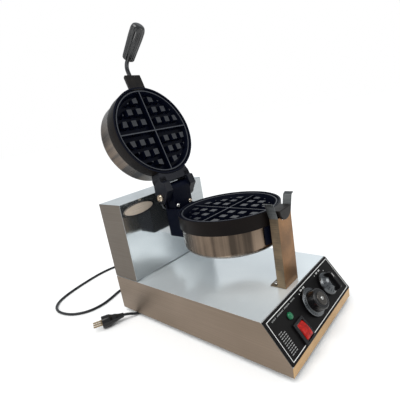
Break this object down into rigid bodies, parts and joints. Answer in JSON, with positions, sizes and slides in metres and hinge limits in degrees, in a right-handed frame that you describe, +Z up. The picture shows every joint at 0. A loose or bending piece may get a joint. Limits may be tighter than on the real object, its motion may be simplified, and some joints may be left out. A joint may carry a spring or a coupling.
{
  "type": "rotary round waffle maker",
  "caption": "Countertop rotary waffle maker: stainless base and rear tower carry a turning plate head with a round grid plate, a hinged upper plate, a handle and dials.",
  "frame": {"origin": "on the resting surface, under the middle of the whole object without its lead", "axes": "+Z up, the control panel and the handle side face -Y, +X to the right when seen from the front"},
  "size_m": [0.3487, 0.684, 0.6081],
  "materials": {
    "steel": "satin brushed stainless steel",
    "dark_steel": "dark zinc plated steel",
    "brass": "plain, slightly tinted",
    "cast": "black non-stick coated casting",
    "black": "glossy black",
    "panel_black": "black printed panel",
    "rubber": "matt black",
    "red": "glossy red",
    "green": "clear green",
    "cream": "plain"
  },
  "bodies": {
    "machine": {"base_shell": "steel", "bottom_tray": "steel", "tower_shell": "steel", "tower_back_cover": "steel", "cover_screw_1": "steel", "cover_screw_2": "steel", "front_post": "steel", "post_screw_1": "steel", "post_screw_2": "steel", "bearing_frame": "dark_steel", "pilot_lamp_body": "dark_steel", "badge_plate": "brass", "bearing_sleeve": "brass", "plug_pin_1": "brass", "plug_pin_2": "brass", "plug_pin_3": "brass", "switch_housing": "black", "plug_body": "black", "control_panel": "panel_black", "foot_1": "rubber", "foot_2": "rubber", "foot_3": "rubber", "foot_4": "rubber", "strain_relief": "rubber", "cord_from_base": "rubber", "cord_to_plug": "rubber", "cord_coil": "rubber", "pilot_lamp_lens": "green", "thermostat_body": "cream", "timer_body": "cream", "terminal_block": "cream"},
    "plate_head": {"lower_casting": "cast", "lower_housing": "steel", "lower_heater": "dark_steel", "lower_clamp_bolt": "steel", "lower_journal": "cast", "front_strap": "cast", "carrier_bracket": "cast", "hinge_block": "cast", "hinge_block_screw_1": "steel", "hinge_block_screw_2": "steel", "spindle": "steel", "spindle_collar": "dark_steel"},
    "upper_plate": {"upper_casting": "cast", "upper_housing": "steel", "upper_heater": "dark_steel", "upper_clamp_bolt": "steel", "lid_bracket": "cast", "hinge_bolt": "brass", "hinge_nut": "steel", "upper_journal": "cast", "handle_rod": "dark_steel", "handle_grip": "black"},
    "thermostat_dial": {"thermostat_shaft": "steel", "thermostat_knob": "black", "thermostat_cap": "steel"},
    "timer_dial": {"timer_shaft": "steel", "timer_knob": "black"},
    "rocker": {"switch_rocker": "red"}
  },
  "joints": [
    {"name": "plate_turn", "type": "hinge", "parent": "machine", "child": "plate_head", "pos_m": [0, -0.0411, 0.233], "axis": [0, 1, 0], "range_deg": [-25, 25]},
    {"name": "lid_hinge", "type": "hinge", "parent": "plate_head", "child": "upper_plate", "pos_m": [0, 0.1, 0.255], "axis": [1, 0, 0], "range_deg": [0, 108.6]},
    {"name": "thermostat_turn", "type": "hinge", "parent": "machine", "child": "thermostat_dial", "pos_m": [-0.0015, -0.19015, 0.05939], "axis": [0, -0.8063, 0.5915], "range_deg": [-270, 0]},
    {"name": "timer_turn", "type": "hinge", "parent": "machine", "child": "timer_dial", "pos_m": [0.067, -0.18974, 0.05995], "axis": [0, -0.8063, 0.5915], "range_deg": [-300, 0]},
    {"name": "rocker_tilt", "type": "hinge", "parent": "machine", "child": "rocker", "pos_m": [-0.0605, -0.20137, 0.04579], "axis": [1, 0, 0], "range_deg": [0, 16]}
  ]
}
